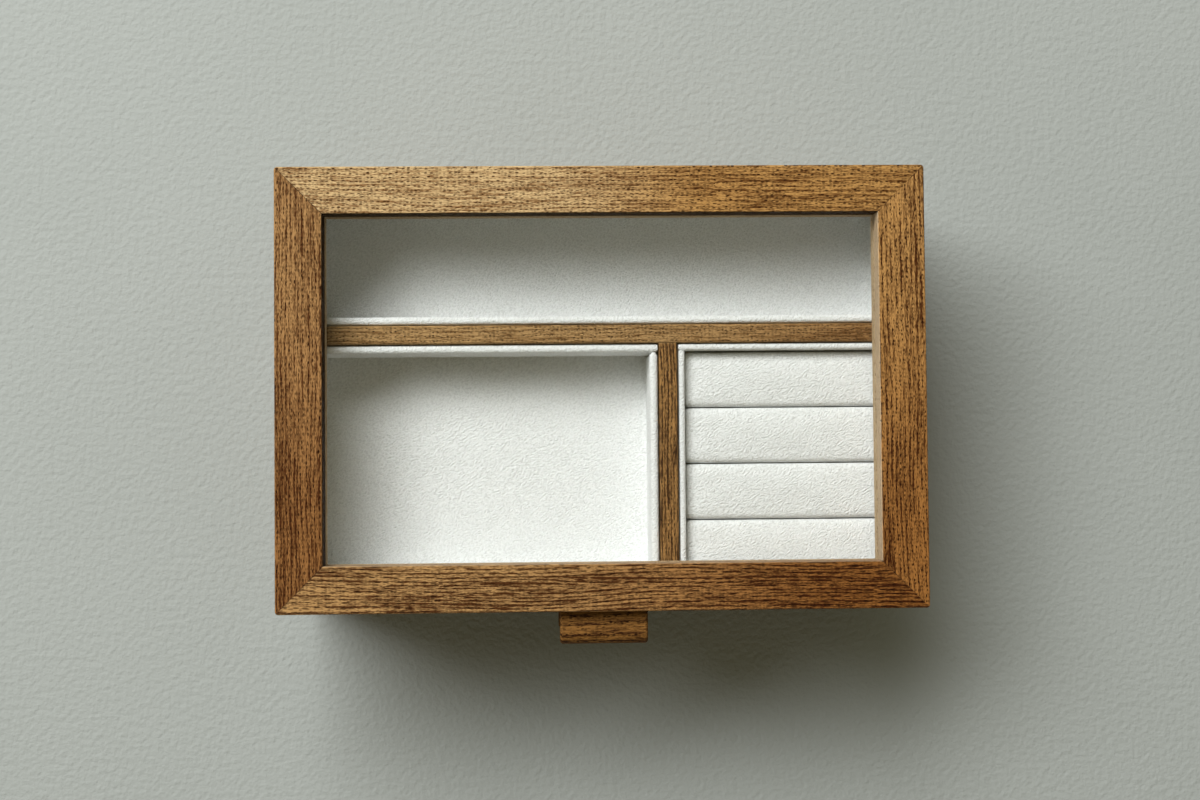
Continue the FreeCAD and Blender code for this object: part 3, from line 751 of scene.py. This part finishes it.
# The back rail's opening face gets painted shade.
pieced_rail(
    "lid_back_rail", tree, shader, place, back_lengths, BACK_CUT, BACK_STRIP, opening=(OPENING_SHADE, 0.9))
paint(back_finish, "lid_back_rail")
print("back rail pieced at x =", BACK_CUT, "mm")

# %% [markdown]
# The front rail is streaky, and darker towards the right. Its two lengths are alike in tone, so the cut
# shows only because its lines of grain are broken.

# %% Front rail
FRONT_CUT = -62.0
FRONT_STRIP = (-72.6, -68.8)
FRONT_GRAIN = {"Ring_Width": 1.05, "Banding": 1.0, "Vessel_Length": 4.2, "Vessel_Width": 0.31}
front_finish, tree, shader, place = new_material("lid_front_rail_wood")
front_lengths = [
    lay_grain(tree, place, "X", start, STAINS["umber"], 42.0, **FRONT_GRAIN)
    for start in ((0.31, 0.12, 0.05), (0.86, 0.23, 0.05))
]
# The front rail's opening face gets a faint painted highlight.
pieced_rail(
    "lid_front_rail", tree, shader, place, front_lengths, FRONT_CUT, FRONT_STRIP,
    opening=(OPENING_HIGHLIGHT, 0.3), darkening=("X", -0.06, 0.1, 1.0),
)
paint(front_finish, "lid_front_rail")
print("front rail pieced at x =", FRONT_CUT, "mm")

# %% [markdown]
# The pane is clear glass. Real light passes through it and falls into the trays. A path tracer would lose
# that light at the pane, so shadow and diffuse rays pass straight through, and only the eye and mirror rays
# see glass. Faint wiping marks change its gloss a little.

# %% Glass
GLASS_TINT = colour(0.985, 0.995, 0.99)
GLASS_IOR = 1.5
PASSING_TINT = colour(0.97, 0.98, 0.975)
WIPING_MARKS = (14.0, 60.0, 14.0)
WIPING_EDGE = (0.55, 0.8)
WIPED_ROUGHNESS = 0.012
glass_finish, tree, shader, place = new_material("lid_glass_clear")
wiping = soft_step(tree, clouds(tree, place, WIPING_MARKS, detail=3.0), *WIPING_EDGE)
feed_named(
    tree, shader, Base_Color=GLASS_TINT, Transmission_Weight=1.0, IOR=GLASS_IOR,
    Roughness=times(tree, wiping, WIPED_ROUGHNESS),
)
light_path = tree.nodes.new("ShaderNodeLightPath").outputs
passing = arith(tree, "MAXIMUM", light_path["Is Shadow Ray"], light_path["Is Diffuse Ray"])
clear = tree.nodes.new("ShaderNodeBsdfTransparent")
feed_named(tree, clear, Color=PASSING_TINT)
either = tree.nodes.new("ShaderNodeMixShader")
feed_in_order(tree, either, (passing, shader.outputs["BSDF"], clear.outputs["BSDF"]))
feed_named(tree, tree.nodes["Material Output"], Surface=either.outputs["Shader"])
paint(glass_finish, "lid_glass")
print("glass on lid_glass")

# %% [markdown]
# The barrel hinges are turned brass: fine rings round each barrel, a soft gloss, and darker tarnish in
# patches.

# %% Brass
BRASS_TONES = (colour(0.58, 0.39, 0.15), colour(0.30, 0.19, 0.07))
TURNED_RINGS = (300.0, 300.0, 9000.0)
TURNED_RELIEF = 0.00003
TARNISH_PATCHES = (420.0,) * 3
TARNISH_EDGE = (0.42, 0.72)
BRASS_ROUGHNESS = 0.4
TURNED_ROUGHNESS = 0.15
TARNISH_ROUGHNESS = 0.18
brass_finish, tree, shader, place = new_material("hinge_brass")
turning = clouds(tree, place, TURNED_RINGS)
tarnish = soft_step(tree, clouds(tree, place, TARNISH_PATCHES, detail=3.0), *TARNISH_EDGE)
turned_rough = arith(tree, "MULTIPLY_ADD", turning, TURNED_ROUGHNESS, BRASS_ROUGHNESS)
feed_named(
    tree, shader, Base_Color=mix_colour(tree, tarnish, *BRASS_TONES), Metallic=1.0,
    Roughness=arith(tree, "MULTIPLY_ADD", tarnish, TARNISH_ROUGHNESS, turned_rough),
)
add_relief(tree, shader, turning, TURNED_RELIEF)
hinge_nodes = [name for name in nodes if "hinge" in name]
paint(brass_finish, *hinge_nodes)
print("brass on", hinge_nodes)

# %% [markdown]
# The linings are off-white suede: a short nap that leans here and there, so that patches about a centimetre
# wide are lighter or darker, and a fine leathery pebble that is drawn out on a slant. Sheen is a plain
# value on the shader, because it is the same all over.

# %% Suede
SUEDE_CLOTH = colour(0.895, 0.905, 0.903)
SUEDE_SHADE = colour(0.73, 0.74, 0.733)
SUEDE_RELIEF = 0.0007
LEANING_PATCHES = (0.09,) * 3
PEBBLES = (1.0, 1.75, 1.4)
BRUSHED = math.radians(-38.0)
NAP = (3.2,) * 3
MIDDLE_NAP = 0.24
LEANING_CHANGE = 0.25
PEBBLE_CHANGE = 2.0
NAP_CHANGE = 1.4
NAP_HEIGHT = 0.45
SUEDE_ROUGHNESS = 0.8
NAP_ROUGHNESS = 0.15
SUEDE_SPECULAR = 0.2
SUEDE_SHEEN = 0.15
SHEEN_ROUGHNESS = 0.5


def suede_nap():
    """The group that gives suede its colour, roughness and height."""
    tree, given, result = new_group(
        "Suede nap",
        {"Vector": "vector", "Cloth": "colour", "Shade": "colour"},
        SURFACE,
    )
    place = in_mm(tree, given["Vector"])
    leaning = clouds(tree, place, LEANING_PATCHES, detail=3.0)
    brushed = tree.nodes.new("ShaderNodeMapping")
    feed_named(tree, brushed, Vector=place, Rotation=(0.0, 0.0, BRUSHED))
    pebble = clouds(tree, brushed.outputs["Vector"], PEBBLES, detail=1.5)
    nap = clouds(tree, place, NAP)
    shade = plus(tree, spread(tree, leaning, LEANING_CHANGE), spread(tree, pebble, PEBBLE_CHANGE))
    shade = plus(tree, shade, plus(tree, spread(tree, nap, NAP_CHANGE), MIDDLE_NAP))
    feed(tree, result["Color"], mix_colour(tree, bounded(tree, shade), given["Cloth"], given["Shade"]))
    feed(tree, result["Roughness"], arith(tree, "MULTIPLY_ADD", nap, NAP_ROUGHNESS, SUEDE_ROUGHNESS))
    feed(tree, result["Height"], plus(tree, pebble, times(tree, nap, NAP_HEIGHT)))
    return tree


suede_group = suede_nap()
suede, tree, shader, place = new_material("lining_suede")
nap = use_group(tree, suede_group, Vector=place, Cloth=SUEDE_CLOTH, Shade=SUEDE_SHADE)
feed_named(
    tree, shader, Base_Color=nap["Color"], Roughness=nap["Roughness"], Specular_IOR_Level=SUEDE_SPECULAR,
    Sheen_Weight=SUEDE_SHEEN, Sheen_Roughness=SHEEN_ROUGHNESS,
)
add_relief(tree, shader, nap["Height"], SUEDE_RELIEF)
print(suede.name, "uses", suede_group.name)

# %% [markdown]
# New pieces start as primitives and are shaped in edit mode, as by hand. An operator acts on whatever is
# selected, so these helpers deselect everything first, and pick edges or faces by where they are.

# %% Helpers for modelling
SMOOTH_BELOW = math.radians(50)
TOUCH = 1e-5
PARALLEL = 0.999


def add_block(name, low, high):
    """A cube primitive between two corners, with its place and size in its mesh, in edit mode."""
    bpy.ops.object.select_all(action="DESELECT")
    bpy.ops.mesh.primitive_cube_add(size=1, location=(low + high) / 2)
    piece = bpy.context.active_object
    piece.name = name
    piece.data.name = name
    piece.scale = high - low
    bpy.ops.object.transform_apply(location=True, rotation=True, scale=True)
    bpy.ops.object.mode_set(mode="EDIT")
    return piece


def pick_edges(piece, wanted):
    """In edit mode, select the edges for which wanted(start, end) holds."""
    bpy.ops.mesh.select_mode(type="EDGE")
    bpy.ops.mesh.select_all(action="DESELECT")
    mesh = bmesh.from_edit_mesh(piece.data)
    for edge in mesh.edges:
        edge.select_set(wanted(edge.verts[0].co, edge.verts[1].co))
    bmesh.update_edit_mesh(piece.data)


def pick_faces(piece, wanted):
    """In edit mode, select the faces for which wanted(middle, normal) holds."""
    bpy.ops.mesh.select_mode(type="FACE")
    bpy.ops.mesh.select_all(action="DESELECT")
    mesh = bmesh.from_edit_mesh(piece.data)
    for face in mesh.faces:
        face.select_set(wanted(face.calc_center_median(), face.normal))
    bmesh.update_edit_mesh(piece.data)


def runs_along(start, end, axis):
    """True for an edge that is parallel to an axis."""
    return abs((end - start).normalized()[axis]) > PARALLEL


def slice_along(piece, axis, spacing):
    """Cut a piece across an axis into slices of about this length."""
    cuts = max(1, round(piece.dimensions[axis] / spacing) - 1)
    pick_edges(piece, lambda start, end: runs_along(start, end, axis))
    bpy.ops.mesh.subdivide(number_cuts=cuts)


def round_edges(width, segments):
    """In edit mode, bevel the selected edges round."""
    bpy.ops.mesh.bevel(offset=width, segments=segments, profile=0.5, affect="EDGES")


def keep_inside(piece, low, high, axes):
    """Press a piece's points back between two corners along some axes."""
    for vert in piece.data.vertices:
        for axis in axes:
            vert.co[axis] = min(max(vert.co[axis], low[axis]), high[axis])


def select_only(piece):
    """Make one object the selected and active one."""
    bpy.ops.object.select_all(action="DESELECT")
    piece.select_set(True)
    bpy.context.view_layer.objects.active = piece


def apply_modifier(piece, kind, **settings):
    """Add a modifier, set it up and apply it."""
    select_only(piece)
    modifier = piece.modifiers.new(kind.lower(), kind)
    for key, value in settings.items():
        setattr(modifier, key, value)
    bpy.ops.object.modifier_apply(modifier=modifier.name)


def copy_piece(piece, name, move):
    """A copy with its own mesh, moved in its mesh."""
    copy = piece.copy()
    copy.data = piece.data.copy()
    copy.name = name
    copy.data.name = name
    bpy.context.collection.objects.link(copy)
    copy.location = move
    select_only(copy)
    bpy.ops.object.transform_apply(location=True, rotation=False, scale=False)
    return copy


def dress(piece, body, material, node):
    """Smooth a finished piece, give it its material, and let it stand for its CAD node."""
    select_only(piece)
    bpy.ops.object.shade_smooth_by_angle(angle=SMOOTH_BELOW)
    piece.data.materials.append(material)
    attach(piece, body)
    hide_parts(node)


print("modelling helpers ready")

# %% [markdown]
# A tray wall is a thin board wrapped in suede. Its rim is round, its faces are slightly uneven where the
# cloth is glued down, and the cloth is folded in at the ends, so that a side wall ends in a blunt point
# between the front and back walls. The block is drawn a fold's length short, sliced, its rim is beveled,
# and each end is then extruded twice and narrowed. A simulation would only blur these crisp folds, so
# clouds push the cloth in and out a little instead.
# A step of a folded end is its share of the fold, and its width and height beside the step before it.

# %% Wrapped tray walls
RIM_SHARE = 0.46
END_REACH = 0.0003
POINTED_FOLD = 0.5
POINTED_END = ((0.3, 0.94, 0.998), (0.7, 0.4, 0.992))
BLUNT_FOLD = 0.2
BLUNT_END = ((0.4, 0.97, 0.999), (0.6, 0.86, 0.995))
FACING = 0.99
WALL_UNEVENNESS = 0.00022
SLICE_LENGTH = 0.0025
SLICE_HEIGHT = 0.004
unevenness = bpy.data.textures.new("glued_cloth", "CLOUDS")
unevenness.noise_scale = 0.0045
unevenness.noise_depth = 2


def fold_end(piece, axis, side, fold, steps, foot):
    """Close one end of a wall: extrude it in steps, each narrower than the last."""
    for share, narrow, lower in steps:
        edge = max(vert.co[axis] * side for vert in bmesh.from_edit_mesh(piece.data).verts)
        pick_faces(
            piece,
            lambda middle, normal: normal[axis] * side > FACING and middle[axis] * side > edge - TOUCH,
        )
        step = Vector((0, 0, 0))
        step[axis] = side * fold * share
        bpy.ops.mesh.extrude_region_move(TRANSFORM_OT_translate={"value": step})
        size = Vector((1, 1, lower))
        size[1 - axis] = narrow
        bpy.ops.transform.resize(value=size, center_override=foot)


def roughen(piece, strength):
    """Push the cloth of a piece in and out a little."""
    apply_modifier(
        piece, "DISPLACE", texture=unevenness, texture_coords="LOCAL", strength=strength, mid_level=0.5)


def folds_of(node, thickness):
    """A wall's fold, its steps, and how far its ends reach out past the CAD wall."""
    is_side = node.endswith(("left_lining", "right_lining"))
    reach = END_REACH if is_side else 0.0
    if is_side and not node.startswith("ring_tray"):
        return thickness * POINTED_FOLD, POINTED_END, reach
    return thickness * BLUNT_FOLD, BLUNT_END, reach


def wrapped_wall(node, body):
    """A board in suede that stands for one CAD wall."""
    low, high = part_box(node)
    axis = 0 if high.x - low.x > high.y - low.y else 1
    thickness = high[1 - axis] - low[1 - axis]
    fold, steps, reach = folds_of(node, thickness)
    short = Vector((0, 0, 0))
    short[axis] = fold - reach
    wall = add_block(node + "_suede", low + short, high - short)
    slice_along(wall, axis, SLICE_LENGTH)
    slice_along(wall, 2, SLICE_HEIGHT)
    pick_edges(wall, lambda a, b: min(a.z, b.z) > high.z - TOUCH and runs_along(a, b, axis))
    round_edges(thickness * RIM_SHARE, segments=6)
    foot = (low + high) / 2
    foot.z = low.z
    for side in (-1, 1):
        fold_end(wall, axis, side, fold, steps, foot)
    bpy.ops.object.mode_set(mode="OBJECT")
    roughen(wall, WALL_UNEVENNESS)
    dress(wall, body, suede, node)


wall_nodes = [name for name in nodes if name.endswith("_lining")]
for name in wall_nodes:
    wrapped_wall(name, "drawer" if name.startswith("drawer") else "case")
print("wrapped walls:", len(wall_nodes))

# %% [markdown]
# Padded cloth is best swollen by the cloth simulation: pressure pushes it out from inside, its threads hold
# it back, and it ends in the even crown that a stuffed piece has. The helper runs it for twenty frames,
# keeps points where they are held, and scales the swelling down if the furthest point went too far.

# %% Helper for stuffed cloth
STUFFING_FRAMES = 20
PRESSURE = 4.0


def simulate(piece, held_points):
    """Run the cloth simulation on a piece and keep its result as the mesh."""
    piece.vertex_groups.new(name="held").add(held_points, 1.0, "REPLACE")
    cloth = piece.modifiers.new("stuffing", "CLOTH")
    cloth.settings.use_pressure = True
    cloth.settings.uniform_pressure_force = PRESSURE
    cloth.settings.vertex_group_mass = "held"
    cloth.settings.effector_weights.gravity = 0.0
    cloth.collision_settings.use_collision = False
    for number in range(1, STUFFING_FRAMES + 1):
        bpy.context.scene.frame_set(number)
    select_only(piece)
    bpy.ops.object.modifier_apply(modifier="stuffing")
    bpy.context.scene.frame_set(1)
    piece.vertex_groups.clear()


def stuff(piece, limit, held):
    """Swell a piece by up to a limit; held(place) tells which points stay."""
    start = [vert.co.copy() for vert in piece.data.vertices]
    simulate(piece, [index for index, place in enumerate(start) if held(place)])
    moves = [vert.co - place for vert, place in zip(piece.data.vertices, start)]
    furthest = max(move.length for move in moves)
    share = min(1.0, limit / furthest)
    for vert, place, move in zip(piece.data.vertices, start, moves):
        vert.co = place + move * share
    swelling = [round(length * MM, 2) for length in (furthest, furthest * share)]
    print(piece.name, "swelled by", swelling[0], "mm, kept", swelling[1], "mm")


print("stuffing runs for", STUFFING_FRAMES, "frames")

# %% [markdown]
# A floor pad is a thin sheet of wadding under suede. The walls stand on its border and hold it down, so it
# can only swell inside them, by a fraction of a millimetre.

# %% Floor pads
PAD_SWELL = 0.0005
PAD_BORDER = 0.0045
PAD_CELL = 0.003


def floor_pad(node, body):
    """A sheet of wadding in suede, swollen between its borders."""
    low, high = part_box(node)
    pad = add_block(node + "_suede", low, high)
    slice_along(pad, 0, PAD_CELL)
    slice_along(pad, 1, PAD_CELL)
    bpy.ops.object.mode_set(mode="OBJECT")
    middle = (low + high) / 2
    free = (high - low) / 2 - Vector((PAD_BORDER, PAD_BORDER, 0))

    def held(place):
        off = place - middle
        return place.z < middle.z or abs(off.x) > free.x or abs(off.y) > free.y

    stuff(pad, PAD_SWELL, held)
    dress(pad, body, suede, node)


floor_pad("back_tray_floor_pad", "case")
floor_pad("left_tray_floor_pad", "case")
floor_pad("drawer_floor_pad", "drawer")
print("three floor pads")

# %% [markdown]
# A ring roll is foam wrapped in suede: a long cushion with round upper edges, pressed against its neighbours
# so that a ring stands in the slit between two. One roll is modelled slightly small, from a block whose
# upper edges and ends are beveled, and remeshed to even cells.

# %% One ring roll
ROLL_SHRINK = Vector((0.0001, 0.0, 0.0012))
ROLL_EDGE = 0.0024
ROLL_CORNER = 0.0009
ROLL_CELL = 0.0009
roll_names = sorted(name for name in nodes if name.startswith("ring_roll"))
roll_low, roll_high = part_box(roll_names[0])
inner_low = roll_low + ROLL_SHRINK
inner_high = roll_high - ROLL_SHRINK
inner_low.z = roll_low.z
roll = add_block(roll_names[0] + "_suede", inner_low, inner_high)
pick_edges(roll, lambda a, b: min(a.z, b.z) > inner_high.z - TOUCH and runs_along(a, b, 0))
round_edges(ROLL_EDGE, segments=5)
pick_edges(roll, lambda a, b: abs(a.x - b.x) < TOUCH and max(a.z, b.z) > roll_low.z + TOUCH)
round_edges(ROLL_CORNER, segments=3)
bpy.ops.object.mode_set(mode="OBJECT")
apply_modifier(roll, "REMESH", mode="VOXEL", voxel_size=ROLL_CELL)
apply_modifier(roll, "SMOOTH", factor=0.5, iterations=2)
print("one roll with", len(roll.data.polygons), "cells")

# %% [markdown]
# The roll's top is stuffed between its edges, and clouds make the cloth uneven. What swells past the CAD
# roll is pressed back to it. The other rolls are copies of this one, each with its own mesh.

# %% Ring rolls
ROLL_SWELL = 0.0011
ROLL_UNEVENNESS = 0.00025
roll_middle = (inner_low + inner_high) / 2
roll_half = (inner_high - inner_low) / 2


def roll_is_held(place):
    """The sides and edges of a roll stay; its top is free."""
    off = place - roll_middle
    on_side = abs(off.x) > roll_half.x - ROLL_CORNER or abs(off.y) > roll_half.y - ROLL_EDGE / 2
    return on_side or off.z < roll_half.z - ROLL_EDGE


stuff(roll, ROLL_SWELL, roll_is_held)
roughen(roll, ROLL_UNEVENNESS)
keep_inside(roll, roll_low, roll_high, axes=(0, 1, 2))
apply_modifier(roll, "SUBSURF", levels=1, render_levels=1)
rolls = {roll_names[0]: roll}
for name in roll_names[1:]:
    rolls[name] = copy_piece(roll, name + "_suede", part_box(name)[0] - roll_low)
for name, piece in rolls.items():
    dress(piece, "case", suede, name)
print("ring rolls:", len(roll_names), "with", len(roll.data.polygons), "faces each")

# %% [markdown]
# A sheet of dark felt under the case keeps it from scratching the table. Its edge is cut by hand and a
# little fuzzy, so the sheet is sliced finely and the points of its edge are moved at random, always in the
# same way.

# %% Felt
FELT_TONES = (colour(0.035, 0.03, 0.026), colour(0.12, 0.1, 0.085))
FELT_FIBRES = (900.0,) * 3
FELT_MATTING = (120.0,) * 3
FELT_ROUGHNESS = 0.95
FELT_SHEEN = 0.4
FELT_RELIEF = 0.0004
FELT_CELL = 0.004
FELT_FUZZ = 0.0002
felt_finish, tree, shader, place = new_material("base_felt_fibres")
fibres = clouds(tree, place, FELT_FIBRES, detail=4.0, roughness=0.7)
matted = times(tree, fibres, clouds(tree, place, FELT_MATTING))
feed_named(
    tree, shader, Base_Color=mix_colour(tree, matted, *FELT_TONES), Roughness=FELT_ROUGHNESS,
    Sheen_Weight=FELT_SHEEN,
)
add_relief(tree, shader, fibres, FELT_RELIEF)
felt_low, felt_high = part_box("base_felt")
felt = add_block("base_felt_sheet", felt_low, felt_high)
slice_along(felt, 0, FELT_CELL)
slice_along(felt, 1, FELT_CELL)
pick_edges(felt, lambda a, b: abs(a.x) > felt_high.x - TOUCH or abs(a.y) > felt_high.y - TOUCH)
bpy.ops.transform.vertex_random(offset=FELT_FUZZ, seed=4)
bpy.ops.object.mode_set(mode="OBJECT")
keep_inside(felt, felt_low, felt_high, axes=(2,))
dress(felt, "case", felt_finish, "base_felt")
print("felt", tuple(felt.dimensions))

# %% [markdown]
# Two soft dots on the front rail take the closing lid. Each is a low dome: a short cylinder whose top edge
# is beveled round. One is modelled and the other is its copy.

# %% Lid bumpers
BUMPER_TONES = (colour(0.30, 0.27, 0.23), colour(0.42, 0.39, 0.34))
BUMPER_DUST = (1500.0,) * 3
BUMPER_ROUGHNESS = 0.35
DUST_ROUGHNESS = 0.2
DOT_SIDES = 40
DOME_SHARE = 0.8
bumper_finish, tree, shader, place = new_material("bumper_rubber")
dust = clouds(tree, place, BUMPER_DUST, detail=3.0)
feed_named(
    tree, shader, Base_Color=mix_colour(tree, dust, *BUMPER_TONES),
    Roughness=arith(tree, "MULTIPLY_ADD", dust, DUST_ROUGHNESS, BUMPER_ROUGHNESS),
)
dots_low, dots_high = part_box("lid_bumpers")
dot_radius = (dots_high.y - dots_low.y) / 2
dot_height = dots_high.z - dots_low.z
dot_place = (dots_low + dots_high) / 2
dot_place.x = dots_low.x + dot_radius
bpy.ops.object.select_all(action="DESELECT")
bpy.ops.mesh.primitive_cylinder_add(
    vertices=DOT_SIDES, radius=dot_radius, depth=dot_height, location=dot_place)
left_dot = bpy.context.active_object
left_dot.name = "left_lid_bumper"
bpy.ops.object.transform_apply(location=True, rotation=True, scale=True)
bpy.ops.object.mode_set(mode="EDIT")
pick_edges(left_dot, lambda a, b: min(a.z, b.z) > dots_high.z - TOUCH)
round_edges(dot_height * DOME_SHARE, segments=5)
bpy.ops.object.mode_set(mode="OBJECT")
right_dot = copy_piece(left_dot, "right_lid_bumper", (-2 * dot_place.x, 0, 0))
for dot in (left_dot, right_dot):
    dress(dot, "case", bumper_finish, "lid_bumpers")
print("bumpers at", tuple(dot_place))
